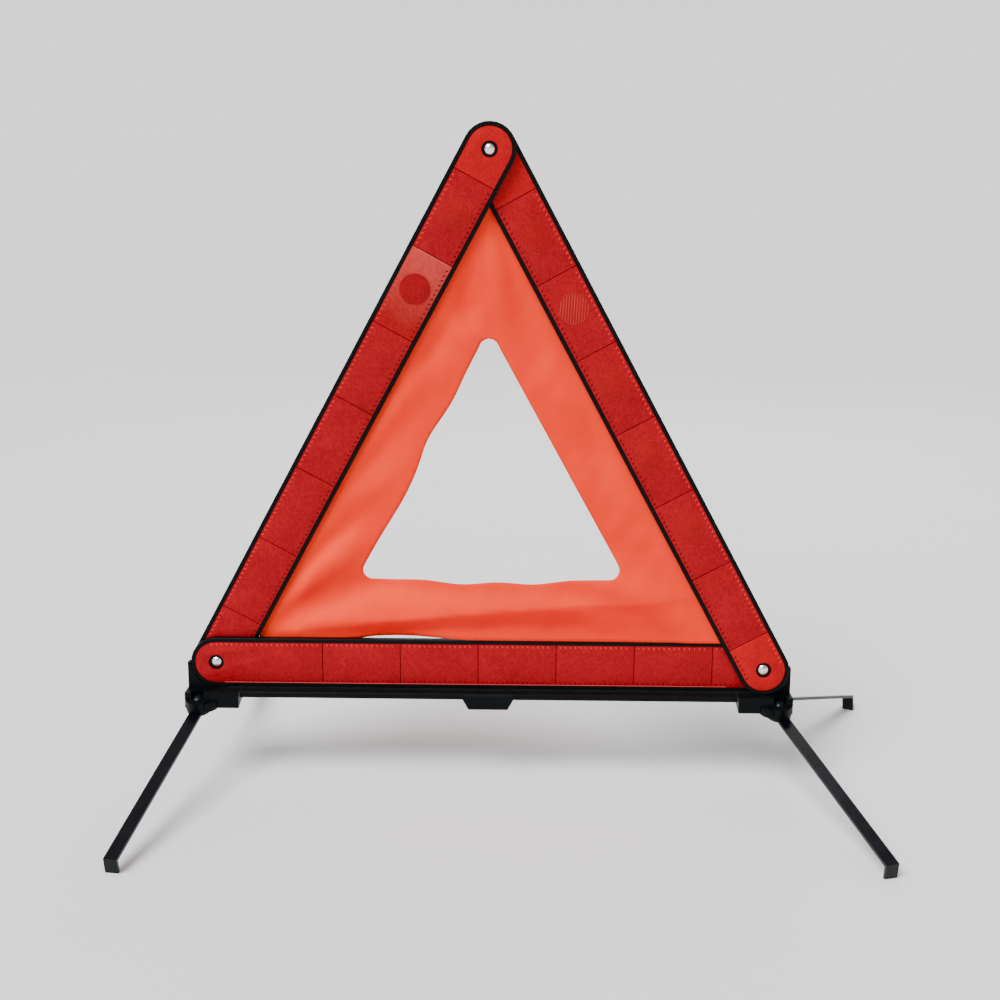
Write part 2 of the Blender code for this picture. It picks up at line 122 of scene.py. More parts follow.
# The stiffening on the trays' backs
BACK_BAY = 24 * MM
BACK_RIB = 1.3 * MM
BACK_LOW = TRAY_BACK - 0.3 * MM
BACK_HIGH = TRAY_BACK + 0.4 * MM
BACK_CORNER = 4 * MM
BACK_END = 34 * MM  # from a hinge rivet
BACK_APEX_END = 46 * MM  # from the apex rivet
BACK_BAR_HALF = 14.5 * MM
BACK_OUTER = 15.5 * MM  # from an arm's middle line to its outer border
BACK_INNER = 10 * MM  # and to the border beside the panel clamp

# The studs of the panel clamps
STUD_COUNT = 8
STUD_LINE = 14.3 * MM  # from an arm's middle line
STUD_RADIUS = 1.8 * MM
STUD_FOOT = 2.3 * MM
STUD_TOP = 3.2 * MM
PIP_RADIUS = 0.7 * MM
PIP_FOOT = 3.0 * MM
PIP_TOP = 3.4 * MM

# The lugs beside the legs' bosses, from each pin
LUG_START = 6 * MM
LUG_REACH = 15 * MM
LUG_RADIUS = 8.4 * MM
LUG_LOW = 1.8 * MM
LUG_HIGH = 8.6 * MM

# Panel
PANEL_GAP = 1.0 * MM  # behind the trays' middle planes
PANEL_STEP = 2.6 * MM
PANEL_TUCK = 4 * MM
PANEL_TRIM = 0.25 * MM  # the left lower corner stops this short of the arm
CLOTH_THICKNESS = 0.25 * MM


def frame_of(origin, along, normal):
    """The matrix of a frame with X along, Z on the normal."""
    across = normal.cross(along)
    turn = Matrix((along, across, normal)).transposed().to_4x4()
    return Matrix.Translation(origin) @ turn


BAR_START = Vector((LEFT_HINGE.x, BAR_MIDDLE.y, BAR_MIDDLE.z))
BAR_FRAME = frame_of(BAR_START, Vector((1, 0, 0)), Vector((0, 1, 0)))
LEFT_FRAME = frame_of(LEFT_HINGE, LEFT_ALONG, LEFT_NORMAL)
RIGHT_FRAME = frame_of(RIGHT_HINGE, RIGHT_ALONG, RIGHT_NORMAL)
BAR_UPPER = -1  # which side of each frame's X axis gets the ribs with a painted highlight; the other side's ribs get painted shade
LEFT_OUTER = -1
RIGHT_OUTER = 1


# ---------------------------------------------------------------- materials

PRISM_CELL = 0.95 * MM
STRIPE_PITCH = 1.9 * MM
STRIPE_TURN = 58  # in degrees
THREAD_PITCH = 0.55 * MM


class Nodes:
    """A short way to wire a node material."""

    def __init__(self, name):
        self.material = bpy.data.materials.new(name)
        self.material.use_nodes = True
        self.tree = self.material.node_tree
        self.shader = self.tree.nodes["Principled BSDF"]

    def add(self, kind, links=None, **settings):
        node = self.tree.nodes.new(kind)
        for key, value in settings.items():
            setattr(node, key, value)
        for socket, source in (links or {}).items():
            self.link(source, node.inputs[socket])
        return node

    def link(self, source, target):
        self.tree.links.new(source, target)

    def set(self, **values):
        """Uniform values on the shader's own sockets."""
        for key, value in values.items():
            self.shader.inputs[key.replace("_", " ")].default_value = value

    def object_coordinates(self):
        return self.add("ShaderNodeTexCoord").outputs["Object"]

    def uv(self):
        return self.add("ShaderNodeUVMap", uv_map="metres").outputs["UV"]

    def noise(self, coordinates, scale, detail=3.0, roughness=0.5):
        node = self.add("ShaderNodeTexNoise", {"Vector": coordinates})
        node.inputs["Scale"].default_value = scale
        node.inputs["Detail"].default_value = detail
        node.inputs["Roughness"].default_value = roughness
        return node.outputs["Fac"]

    def ramp(self, value, low, high, start=0.3, end=0.7):
        node = self.add("ShaderNodeValToRGB", {"Fac": value})
        node.color_ramp.elements[0].position = start
        node.color_ramp.elements[1].position = end
        node.color_ramp.elements[0].color = (*low, 1)
        node.color_ramp.elements[1].color = (*high, 1)
        return node.outputs["Color"]

    def span(self, value, low, high, start=0.3, end=0.7):
        node = self.add("ShaderNodeMapRange", {"Value": value})
        node.inputs["From Min"].default_value = start
        node.inputs["From Max"].default_value = end
        node.inputs["To Min"].default_value = low
        node.inputs["To Max"].default_value = high
        return node.outputs["Result"]

    def math(self, operation, a, b=None):
        node = self.add("ShaderNodeMath", operation=operation)
        for n, value in enumerate((a, b)):
            if value is None:
                continue
            if isinstance(value, (int, float)):
                node.inputs[n].default_value = value
            else:
                self.link(value, node.inputs[n])
        return node.outputs["Value"]

    def mix(self, factor, a, b):
        node = self.add("ShaderNodeMix", data_type="RGBA")
        for socket, value in (("Factor", factor), ("A", a), ("B", b)):
            target = [s for s in node.inputs if s.name == socket and s.enabled][0]
            if isinstance(value, (int, float)):
                target.default_value = value
            elif isinstance(value, tuple):
                target.default_value = (*value, 1)
            else:
                self.link(value, target)
        return [s for s in node.outputs if s.enabled][0]

    def bump(self, height, strength, distance):
        node = self.add("ShaderNodeBump", {"Height": height})
        node.inputs["Strength"].default_value = strength
        node.inputs["Distance"].default_value = distance
        return node.outputs["Normal"]

    def finish(self, colour=None, roughness=None, normal=None):
        if colour is not None:
            self.link(colour, self.shader.inputs["Base Color"])
        if roughness is not None:
            self.link(roughness, self.shader.inputs["Roughness"])
        if normal is not None:
            self.link(normal, self.shader.inputs["Normal"])
        return self.material


def black_plastic():
    """Moulded black plastic: fine grain, faint mottling and paler scuffs."""
    m = Nodes("black_plastic")
    at = m.object_coordinates()
    grain = m.noise(at, 2600, 2)
    cloud = m.noise(at, 60, 5, 0.6)
    scuff = m.noise(at, 240, 6, 0.7)
    colour = m.ramp(cloud, (0.0006, 0.0014, 0.0018), (0.0016, 0.0030, 0.0036))
    colour = m.mix(m.span(scuff, 0, 0.5, 0.62, 0.8), colour, (0.008, 0.011, 0.0125))
    rough = m.span(scuff, 0.3, 0.5)
    m.set(Specular_IOR_Level=0.075)
    return m.finish(colour, rough, m.bump(grain, 0.25, 0.0001))


def black_steel():
    """Black lacquered steel: slight orange peel, uneven gloss and a few rubbed flecks."""
    m = Nodes("black_steel")
    at = m.object_coordinates()
    flecks = m.noise(at, 420, 6, 0.7)
    cloud = m.noise(at, 45, 4)
    peel = m.noise(at, 900, 2)
    colour = m.ramp(cloud, (0.0006, 0.0008, 0.002), (0.002, 0.0024, 0.005))
    colour = m.mix(m.span(flecks, 0, 0.6, 0.7, 0.82), colour, (0.02, 0.021, 0.024))
    rough = m.span(cloud, 0.18, 0.34)
    m.set(Specular_IOR_Level=0.16, Coat_Weight=0.02, Coat_Roughness=0.12)
    return m.finish(colour, rough, m.bump(peel, 0.15, 0.0001))


def bright_aluminium():
    """Bright rivet metal, a little hazy, with small dents."""
    m = Nodes("bright_aluminium")
    at = m.object_coordinates()
    dents = m.noise(at, 700, 4)
    haze = m.noise(at, 180, 3)
    colour = m.ramp(haze, (0.72, 0.73, 0.74), (0.92, 0.93, 0.94))
    m.set(Metallic=1.0)
    return m.finish(colour, m.span(haze, 0.16, 0.34), m.bump(dents, 0.2, 0.0001))


def prism_field(m, uv, cell):
    """Corner-cube prisms: three families of fine V grooves, 60 degrees apart."""
    heights = []
    for turn in (0, 60, 120):
        mapping = m.add("ShaderNodeMapping", {"Vector": uv})
        mapping.inputs["Rotation"].default_value = (0, 0, math.radians(turn))
        split = m.add("ShaderNodeSeparateXYZ", {"Vector": mapping.outputs["Vector"]})
        phase = m.math("PINGPONG", m.math("MULTIPLY", split.outputs["X"], 1 / cell), 1.0)
        heights.append(phase)
    total = m.math("ADD", m.math("ADD", heights[0], heights[1]), heights[2])
    return m.math("MULTIPLY", total, 1 / 3)


def reflector_red(name, low, high, cell=PRISM_CELL, relief=0.35, fade=None, stripes=None):
    """Clear red moulded prism plastic over a pale backing: the facets' glints are painted as tone that
    varies cell by cell.
    Fade turns it pale between two lengths along the band, stripes draw fine slanted lines over it."""
    m = Nodes(name)
    uv = m.uv()
    prisms = prism_field(m, uv, cell)
    # painted glints: each prism cell a little lighter or darker
    cells = m.add("ShaderNodeTexVoronoi", {"Vector": uv}, voronoi_dimensions="2D")
    cells.inputs["Scale"].default_value = 1 / (1.6 * cell)
    painted_glint = m.add("ShaderNodeSeparateColor", {"Color": cells.outputs["Color"]}).outputs["Red"]
    cloud = m.noise(uv, 30, 4, 0.6)
    tone = m.math("ADD", m.math("MULTIPLY", painted_glint, 0.22), m.math("MULTIPLY", prisms, 0.3))
    tone = m.math("ADD", tone, m.math("MULTIPLY", cloud, 0.5))
    colour = m.ramp(tone, low, high, 0.25, 0.8)
    if fade:
        start, end, pale_low, pale_high = fade
        along = m.add("ShaderNodeSeparateXYZ", {"Vector": uv}).outputs["X"]
        along = m.math("ADD", along, m.math("MULTIPLY", cloud, 12 * MM))
        pale = m.ramp(tone, pale_low, pale_high, 0.25, 0.8)
        colour = m.mix(m.span(along, 0, 1, start, end), colour, pale)
    if stripes:
        turned = m.add("ShaderNodeMapping", {"Vector": uv})
        turned.inputs["Rotation"].default_value = (0, 0, math.radians(STRIPE_TURN))
        across = m.add("ShaderNodeSeparateXYZ", {"Vector": turned.outputs["Vector"]}).outputs["X"]
        wave = m.math("SINE", m.math("MULTIPLY", across, 2 * math.pi / STRIPE_PITCH))
        colour = m.mix(m.span(wave, 0, 0.85, 0.1, 0.9), colour, stripes)
    m.set(Specular_IOR_Level=0.05, Coat_Weight=0.03, Coat_Roughness=0.12)
    return m.finish(colour, m.span(cloud, 0.26, 0.42), m.bump(prisms, relief, 0.0002))


def fluorescent_fabric():
    """Thin coated cloth in fluorescent orange-red: fine plain weave, with painted light and shade from a
    vertex attribute:
    paler where the cloth faces up and to the left, deeper in the undersides of its creases as painted
    shade. A faint emission is a painted glow that stands in for its fluorescence."""
    m = Nodes("fluorescent_fabric")
    uv = m.uv()
    split = m.add("ShaderNodeSeparateXYZ", {"Vector": uv})
    thread = 2 * math.pi / THREAD_PITCH
    warp = m.math("SINE", m.math("MULTIPLY", split.outputs["X"], thread))
    weft = m.math("SINE", m.math("MULTIPLY", split.outputs["Y"], thread))
    weave = m.math("MULTIPLY", warp, weft)
    cloud = m.noise(uv, 16, 4, 0.55)
    fine = m.noise(uv, 260, 3)
    # painted light and shade, read per vertex
    painted_shading = m.add("ShaderNodeAttribute", attribute_name="painted_shading").outputs["Fac"]
    tone = m.math("ADD", painted_shading, m.math("MULTIPLY", m.math("SUBTRACT", cloud, 0.5), 0.35))
    tone = m.math("ADD", tone, m.math("MULTIPLY", m.math("SUBTRACT", fine, 0.5), 0.08))
    ramp = m.add("ShaderNodeValToRGB", {"Fac": tone})
    ramp.color_ramp.elements[0].position = 0.12
    ramp.color_ramp.elements[0].color = (0.60, 0.0042, 0.0008, 1)
    ramp.color_ramp.elements[1].position = 0.92
    ramp.color_ramp.elements[1].color = (0.88, 0.048, 0.011, 1)
    middle = ramp.color_ramp.elements.new(0.52)
    middle.color = (0.72, 0.021, 0.004, 1)
    grain = m.math("ADD", m.math("MULTIPLY", weave, 0.4), fine)
    # a faint painted glow that stands in for fluorescence
    m.set(Specular_IOR_Level=0.06, Emission_Strength=0.08)
    m.shader.inputs["Emission Color"].default_value = (1.0, 0.03, 0.005, 1)
    return m.finish(ramp.outputs["Color"], m.span(fine, 0.4, 0.58), m.bump(grain, 0.18, 0.0001))


# ---------------------------------------------------------------- geometry helpers

def arc(centre, radius, start, end, steps):
    """Points along an arc, its ends in degrees."""
    points = []
    for n in range(steps + 1):
        angle = math.radians(start + (end - start) * n / steps)
        points.append((centre[0] + radius * math.cos(angle), centre[1] + radius * math.sin(angle)))
    return points


def evaluated_mesh(obj):
    return bpy.data.meshes.new_from_object(obj.evaluated_get(bpy.context.evaluated_depsgraph_get()))


def circle(centre, radius, corners):
    return arc(centre, radius, 0, 360 - 360 / corners, corners - 1)


def drawn_plate(outlines, low, high, edge):
    """A flat piece's mesh from closed outlines in XY, its edges rounded by edge."""
    curve = bpy.data.curves.new("outline", "CURVE")
    curve.dimensions = "2D"
    curve.fill_mode = "BOTH"
    curve.extrude = (high - low) / 2 - edge
    curve.bevel_depth = edge
    curve.bevel_resolution = 1
    curve.offset = -edge
    for outline in outlines:
        spline = curve.splines.new("POLY")
        spline.points.add(len(outline) - 1)
        for point, (x, y) in zip(spline.points, outline):
            point.co = (x, y, 0, 1)
        spline.use_cyclic_u = True
    drawn = bpy.data.objects.new("outline", curve)
    bpy.context.scene.collection.objects.link(drawn)
    bpy.context.view_layer.update()
    mesh = evaluated_mesh(drawn)
    bpy.data.objects.remove(drawn)
    made = bmesh.new()
    made.from_mesh(mesh)
    bmesh.ops.remove_doubles(made, verts=made.verts, dist=1e-6)
    bmesh.ops.translate(made, verts=made.verts, vec=(0, 0, (low + high) / 2))
    bmesh.ops.recalc_face_normals(made, faces=made.faces)
    bpy.data.meshes.remove(mesh)
    return made


def add_uv(made):
    """Metre UVs from the flat X and Y."""
    layer = made.loops.layers.uv.verify()
    for face in made.faces:
        for loop in face.loops:
            loop[layer].uv = loop.vert.co.xy


def new_piece(name, made, matrix, materials):
    mesh = bpy.data.meshes.new(name)
    made.to_mesh(mesh)
    made.free()
    if mesh.uv_layers:
        mesh.uv_layers[0].name = "metres"
    mesh.transform(matrix)
    for material in materials:
        mesh.materials.append(material)
    mesh.shade_smooth()
    mesh.set_sharp_from_angle(angle=math.radians(32))
    obj = bpy.data.objects.new(name, mesh)
    bpy.context.scene.collection.objects.link(obj)
    return obj


def join_into(target, other, slot_index):
    """Add one bmesh to another, all its faces in one material slot."""
    for face in other.faces:
        face.material_index = slot_index
    mesh = bpy.data.meshes.new("part")
    other.to_mesh(mesh)
    other.free()
    target.from_mesh(mesh)
    bpy.data.meshes.remove(mesh)


# ---------------------------------------------------------------- reflectors

def segment_outline(start, end, length, radius):
    """One moulded segment of a reflector; the first and last ones have the band's round ends."""
    if start is None:
        left = arc((0, 0), radius, 90, 270, 20)
    else:
        left = [(start + GROOVE / 2, radius), (start + GROOVE / 2, -radius)]
    if end is None:
        right = arc((length, 0), radius, -90, 90, 20)
    else:
        right = [(end - GROOVE / 2, -radius), (end - GROOVE / 2, radius)]
    return left + right


def edge_rib(x, side):
    """One wedge beside a reflector's long edge: it leans a little and narrows to its top."""
    inner, outer, lean = side * RIB_INNER, side * RIB_OUTER, side * RIB_LEAN
    foot = [
        (x - RIB_HALF - lean, inner), (x + RIB_HALF - lean, inner),
        (x + RIB_HALF + lean, outer), (x - RIB_HALF + lean, outer),
    ]
    middle = Vector((x, (inner + outer) / 2))
    made = bmesh.new()
    bottom = [made.verts.new((px, py, RIB_FOOT)) for px, py in foot]
    upper = [made.verts.new((*(middle + (Vector(p) - middle) * RIB_TAPER), RIB_TOP)) for p in foot]
    made.faces.new(upper)
    made.faces.new(list(reversed(bottom)))
    for k in range(4):
        made.faces.new((bottom[k], bottom[(k + 1) % 4], upper[(k + 1) % 4], upper[k]))
    bmesh.ops.recalc_face_normals(made, faces=made.faces)
    return made


def edge_ribs(target, start, end, side, slot_index):
    """A row of wedges along a reflector's long edge."""
    for n in range(int((end - start) / RIB_PITCH)):
        join_into(target, edge_rib(start + (n + 0.5) * RIB_PITCH, side), slot_index)


def round_mark(target, along, slot_index):
    """A raised lens disc with a fine rim."""
    centre = (along, 0)
    top = LENS_FRONT - DISC_HEIGHT
    disc = drawn_plate([circle(centre, DISC_RADIUS, 60)], top, LENS_FRONT + LENS_SINK, DISC_HEIGHT * 0.4)
    join_into(target, disc, slot_index)
    circles = [circle(centre, radius, 60) for radius in (DISC_RADIUS, DISC_RADIUS - RING_WIDTH)]
    join_into(target, drawn_plate(circles, top - RING_HEIGHT, LENS_FRONT, MARK_EDGE), RING)


def build_reflector(
    name, node, body, matrix, length, dividers, materials,
    *, tones, rib_ends, painted_lit_side, discs=(), lines=(),
):
    """A reflector in moulded segments. Tones names each segment's material slot. The rows of ribs run
    between rib_ends; those on painted_lit_side of the frame's X axis get a pale painted highlight, the
    others dark painted shade.
    Discs are (how far along, material slot). Lines are thin pale ridges, each from a low to a high X
    and from a low to a high Y."""
    edges = [None, *dividers, None]
    whole = bmesh.new()
    for start, end, tone in zip(edges[:-1], edges[1:], tones, strict=True):
        outlines = [segment_outline(start, end, length, LENS_RADIUS)]
        if start is None:
            outlines.append(circle((0, 0), WINDOW_RADIUS, 30))
        if end is None:
            outlines.append(circle((length, 0), WINDOW_RADIUS, 30))
        join_into(whole, drawn_plate(outlines, LENS_FRONT, LENS_FRONT + LENS_THICKNESS, LENS_EDGE), tone)
    rib_edges = sorted({*rib_ends, *dividers})
    for start, end in zip(rib_edges, rib_edges[1:]):
        for side in (-1, 1):
            # ribs on one side get the painted highlight, the others the painted shade
            slot_index = PAINTED_LIT_RIB if side == painted_lit_side else PAINTED_SHADED_RIB
            edge_ribs(whole, start + RIB_MARGIN, end - RIB_MARGIN, side, slot_index)
    for along, slot_index in discs:
        round_mark(whole, along, slot_index)
    for x_low, x_high, y_low, y_high in lines:
        outline = [(x_low, y_low), (x_high, y_low), (x_high, y_high), (x_low, y_high)]
        strip = drawn_plate([outline], LENS_FRONT - LINE_HEIGHT, LENS_FRONT + LENS_SINK, MARK_EDGE)
        join_into(whole, strip, LINE)
    add_uv(whole)
    piece = new_piece(name, whole, matrix, materials)
    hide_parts(node)
    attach(piece, body)


def reflector_materials():
    """One for each material slot, in their order."""
    return [
        reflector_red("reflector_red", (0.20, 0.0018, 0.0050), (0.37, 0.0040, 0.0105)),
        # the ribs on the lit side: the rib colour with a painted highlight
        reflector_red("reflector_painted_lit_rib", (0.52, 0.012, 0.013), (0.72, 0.030, 0.028), 0.9 * MM, 0.1),
        reflector_red("reflector_disc", (0.19, 0.0018, 0.0045), (0.31, 0.0034, 0.0080), 0.8 * MM, 0.45),
        reflector_red(
            "reflector_pale", (0.20, 0.0020, 0.0035), (0.36, 0.004, 0.0065),
            fade=(PALE_START, PALE_END, (0.34, 0.022, 0.020), (0.50, 0.050, 0.042)),
        ),
        reflector_red("reflector_bright", (0.28, 0.0014, 0.0040), (0.46, 0.0030, 0.0080)),
        # the same ribs on the other side, darkened as painted shade
        reflector_red("reflector_painted_shaded_rib", (0.07, 0.001, 0.002), (0.12, 0.002, 0.004), 0.9 * MM, 0.1),
        reflector_red("reflector_faint_disc", (0.21, 0.003, 0.005), (0.35, 0.006, 0.009), 0.8 * MM, 0.4),
        reflector_red(
            "reflector_striped_disc", (0.19, 0.003, 0.005), (0.32, 0.005, 0.008), 0.8 * MM, 0.3,
            stripes=(0.42, 0.030, 0.028),
        ),
        reflector_red("reflector_ring", (0.25, 0.006, 0.008), (0.38, 0.013, 0.015), 0.8 * MM, 0.2),
        reflector_red("reflector_line", (0.50, 0.040, 0.045), (0.70, 0.085, 0.085), 0.8 * MM, 0.2),
    ]


def build_reflectors():
    reds = reflector_materials()
    edge = REFLECTOR_RADIUS - 0.15 * MM
    build_reflector(
        "bottom_prism_band", "bottom_reflector", "base", BAR_FRAME, PITCH, BAR_DIVIDERS, reds,
        tones=[RED] * 7,
        rib_ends=(-6 * MM, PITCH - 12 * MM), painted_lit_side=BAR_UPPER,
        # the pale ridge along the band's lower edge: its pale colour is a painted highlight
        lines=[(6 * MM, PITCH - 26 * MM, edge - 0.45 * MM, edge)],
    )
    pale_top = LEFT_DIVIDERS[5] - 1.3 * MM
    build_reflector(
        "left_prism_band", "left_arm_reflector", "left_arm", LEFT_FRAME, ARM_LENGTH, LEFT_DIVIDERS, reds,
        tones=[RED, RED, RED, RED, RED, PALE, RED, BRIGHT],
        rib_ends=(12 * MM, LEFT_DIVIDERS[-1]), painted_lit_side=LEFT_OUTER,
        discs=[
            (ARM_LENGTH - 49.4 * MM, FAINT_DISC), (ARM_LENGTH - 107.7 * MM, DISC),
            (ARM_LENGTH - 166 * MM, RED),
        ],
        lines=[(pale_top, pale_top + LINE_WIDTH, -11 * MM, 12 * MM)],
    )
    faint_discs = [(ARM_LENGTH - down * MM, FAINT_DISC) for down in (67.8, 182.3, 239.4, 297.9)]
    build_reflector(
        "right_prism_band", "right_arm_reflector", "right_arm", RIGHT_FRAME, ARM_LENGTH, RIGHT_DIVIDERS,
        reds,
        tones=[BRIGHT, RED, RED, RED, RED, RED, RED, BRIGHT],
        rib_ends=(-3 * MM, RIGHT_DIVIDERS[-1]), painted_lit_side=RIGHT_OUTER,
        discs=[(ARM_LENGTH - 122.6 * MM, STRIPED_DISC), *faint_discs],
    )


# ---------------------------------------------------------------- the backs

def black_piece(name, made, matrix, body, material):
    """A moulded black piece that the CAD has no node for."""
    add_uv(made)
    piece = new_piece(name, made, matrix, [material])
    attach(piece, body)


def rectangle(x_low, x_high, y_low, y_high, corner):
    """A rectangle with round corners."""
    points = arc((x_high - corner, y_high - corner), corner, 0, 90, 6)
    points += arc((x_low + corner, y_high - corner), corner, 90, 180, 6)
    points += arc((x_low + corner, y_low + corner), corner, 180, 270, 6)
    return points + arc((x_high - corner, y_low + corner), corner, 270, 360, 6)


def build_back_ribs(name, body, matrix, x_low, x_high, y_low, y_high, material):
    """The moulded stiffening on a tray's back: a raised border and a zigzag of ribs inside it."""
    left, right = x_low + BACK_RIB, x_high - BACK_RIB
    lower, upper = y_low + BACK_RIB, y_high - BACK_RIB
    outlines = [
        rectangle(x_low, x_high, y_low, y_high, BACK_CORNER),
        rectangle(left, right, lower, upper, BACK_CORNER - BACK_RIB),
    ]
    whole = drawn_plate(outlines, BACK_LOW, BACK_HIGH, 0.2 * MM)
    bays = round((x_high - x_low) / BACK_BAY)
    step = (right - left) / bays
    for n in range(bays):
        start_y, end_y = (upper, lower) if n % 2 else (lower, upper)
        start = Vector((left + step * n, start_y))
        end = Vector((left + step * (n + 1), end_y))
        aside = (end - start).normalized().orthogonal() * BACK_RIB * 0.4
        strip = [tuple(corner) for corner in (start - aside, end - aside, end + aside, start + aside)]
        join_into(whole, drawn_plate([strip], BACK_LOW, BACK_HIGH - 0.1 * MM, 0.15 * MM), 0)
    black_piece(name, whole, matrix, body, material)


def build_clamp_studs(name, clamp, body, matrix, y, material):
    """The row of rounded studs that hold a panel clamp down."""
    inverse = matrix.inverted()
    corners = [inverse @ Vector(corner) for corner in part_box(clamp)]
    start, end = sorted(corner.x for corner in corners)
    whole = bmesh.new()
    for n in range(STUD_COUNT):
        centre = (start + (end - start) * (n + 0.5) / STUD_COUNT, y)
        join_into(whole, drawn_plate([circle(centre, STUD_RADIUS, 18)], STUD_FOOT, STUD_TOP, 0.4 * MM), 0)
        join_into(whole, drawn_plate([circle(centre, PIP_RADIUS, 10)], PIP_FOOT, PIP_TOP, 0.15 * MM), 0)
    black_piece(name, whole, matrix, body, material)


def build_backs(material):
    arm_end = ARM_LENGTH - BACK_APEX_END
    bar = (BACK_END, PITCH - BACK_END, -BACK_BAR_HALF, BACK_BAR_HALF)
    left = (BACK_END, arm_end, -BACK_OUTER, BACK_INNER)
    right = (BACK_END, arm_end, -BACK_INNER, BACK_OUTER)
    build_back_ribs("bottom_back_ribs", "base", BAR_FRAME, *bar, material)
    build_back_ribs("left_back_ribs", "left_arm", LEFT_FRAME, *left, material)
    build_back_ribs("right_back_ribs", "right_arm", RIGHT_FRAME, *right, material)
    build_clamp_studs("left_clamp_studs", "left_panel_clamp", "left_arm", LEFT_FRAME, STUD_LINE, material)
    build_clamp_studs(
        "right_clamp_studs", "right_panel_clamp", "right_arm", RIGHT_FRAME, -STUD_LINE, material,
    )


# ---------------------------------------------------------------- the legs' knuckles

def build_knuckle_lug(name, joint, material):
    """The rounded lug that carries a leg's boss on into the end block, towards the middle."""
    pin, axis = Vector(JOINTS[joint]["pos_m"]), Vector(JOINTS[joint]["axis"])
    up = axis if axis.z > 0 else -axis
    inward = in_plane(Vector((-math.copysign(1, pin.x - BAR_MIDDLE.x), 0, 0)), up).normalized()
    outline = arc((LUG_REACH - LUG_RADIUS, 0), LUG_RADIUS, -90, 90, 16)
    outline += [(LUG_START, LUG_RADIUS), (LUG_START, -LUG_RADIUS)]
    made = drawn_plate([outline], LUG_LOW, LUG_HIGH, 0.9 * MM)
    black_piece(name, made, frame_of(pin, inward, up), "base", material)


def build_knuckle_lugs(material):
    for place in ("front_left", "front_right", "rear_left", "rear_right"):
        build_knuckle_lug(place + "_knuckle_lug", place + "_leg_swing", material)


# ---------------------------------------------------------------- fabric panel

SLOPE = LEFT_ALONG.x / LEFT_ALONG.z
MEETING = APEX.z - BAR_MIDDLE.z - BAND / 2 / math.sin(math.atan(SLOPE))


def inner_half_width(z):
    """Half the clear width between the arms, at a height above the bar's middle."""
    return max(SLOPE * (MEETING - z), 0)


def left_swing(z):
    """How far the left arm's middle plane is behind the bar's, at a height."""
    return (LEFT_HINGE.y - BAR_MIDDLE.y) - LEFT_NORMAL.z / LEFT_NORMAL.y * z


def smooth(value, start, end):
    """From 0 at start to 1 at end, level at both."""
    share = min(max((value - start) / (end - start), 0), 1)
    return share * share * (3 - 2 * share)


# The hole, in mm: x from the middle, heights above the bar's middle
HOLE_TOP = 234.4
HOLE_LEFT_BOTTOM = 72.6
HOLE_RIGHT_BOTTOM = 76
HOLE_CORNER = 7
HOLE_LEAN = 28.5  # of the side edges' outward normals above the horizontal, in degrees
HOLE_RIGHT_EDGE = (11.8, 223.4, 0.5535)  # x and height of a point on it, and how fast it runs out
HOLE_LEFT_EDGE = (-6.4, 233.6, 0.5238)
WAVE_START = 238  # the left edge's waves are placed from this height down
WAVE_SPAN = 176
LEFT_WAVES = [(-2.2, 0.41, 0.08), (3.1, 0.64, 0.16), (1.3, 0.24, 0.08)]  # to the right, where, how long
HOLE_SAG = 3.6
HOLE_RIPPLE = 1.1

# The cut lower edge, in mm
EDGE_HIDDEN = 14.4  # where it runs behind the bar
EDGE_CLEAR = 19.0  # where it just clears the bar's top
EDGE_RISE = (-122, -78)  # between which x it comes up from behind the bar
EDGE_DROP = 0.2  # how much it comes down again, and between which x
EDGE_SETTLE = (-30, -10)
SLIT_RISE = 1.6  # the slit that it leaves over the bar: how high, where, how wide
SLIT_MIDDLE = -56
SLIT_REACH = 30
CROSSING = (-76, -16)  # between which x the cloth passes from behind the bar to its front
NEAR_BAR = (19, 34)  # between which heights the bar stops steering it
TUCK_LEVELS = (18.4, 21)  # between which heights its left side comes to be tucked in
HELD_MARGIN = (1, 14)  # how far from an arm the folds start, and where they have their full height
FAR_OUT = 180 * MM  # beyond the panel's corners


def hole_edges(z):
    """The hole's left and right edges at a height: straight on the right, slack and wavy on the left."""
    height = z / MM
    x, level, slope = HOLE_RIGHT_EDGE
    right = x + (level - height) * slope
    x, level, slope = HOLE_LEFT_EDGE
    left = x - (level - height) * slope
    down = (WAVE_START - height) / WAVE_SPAN
    for amount, place, reach in LEFT_WAVES:
        left += amount * math.exp(-((down - place) / reach) ** 2)
    return left * MM, right * MM


def hole_outline():
    """The triangular hole, with round corners and a slightly wavy lower edge."""
    top, left_bottom, right_bottom = HOLE_TOP * MM, HOLE_LEFT_BOTTOM * MM, HOLE_RIGHT_BOTTOM * MM
    corner = HOLE_CORNER * MM
    lean = math.radians(HOLE_LEAN)
    reach = Vector((math.cos(lean), math.sin(lean))) * corner
    count = 58
    points = []
    for n in range(count):
        z = right_bottom + (top - right_bottom) * n / count
        points.append((hole_edges(z)[1], z))
    crown = (sum(hole_edges(top)) / 2, top - reach.y)
    points += arc(crown, corner, HOLE_LEAN, 180 - HOLE_LEAN, 8)
    for n in range(1, count):
        z = top + (left_bottom - top) * n / count
        points.append((hole_edges(z)[0], z))
    first = (hole_edges(left_bottom)[0] + reach.x, left_bottom - reach.y)
    last = (hole_edges(right_bottom)[1] - reach.x, right_bottom - reach.y)
    points += arc(first, corner, 180 - HOLE_LEAN, 270, 7)
    steps = 56
    for n in range(1, steps):
        share = n / steps
        level = first[1] + (last[1] - first[1]) * share - corner
        sag = HOLE_SAG * math.sin(math.pi * share) ** 1.5 * share**0.3
        ripple = HOLE_RIPPLE * math.sin((share - 0.12) * 19) * math.sin(math.pi * share)
        points.append((first[0] + (last[0] - first[0]) * share, level + (ripple - sag) * MM))
    points += arc(last, corner, -90, HOLE_LEAN, 7)[:-1]
    return points


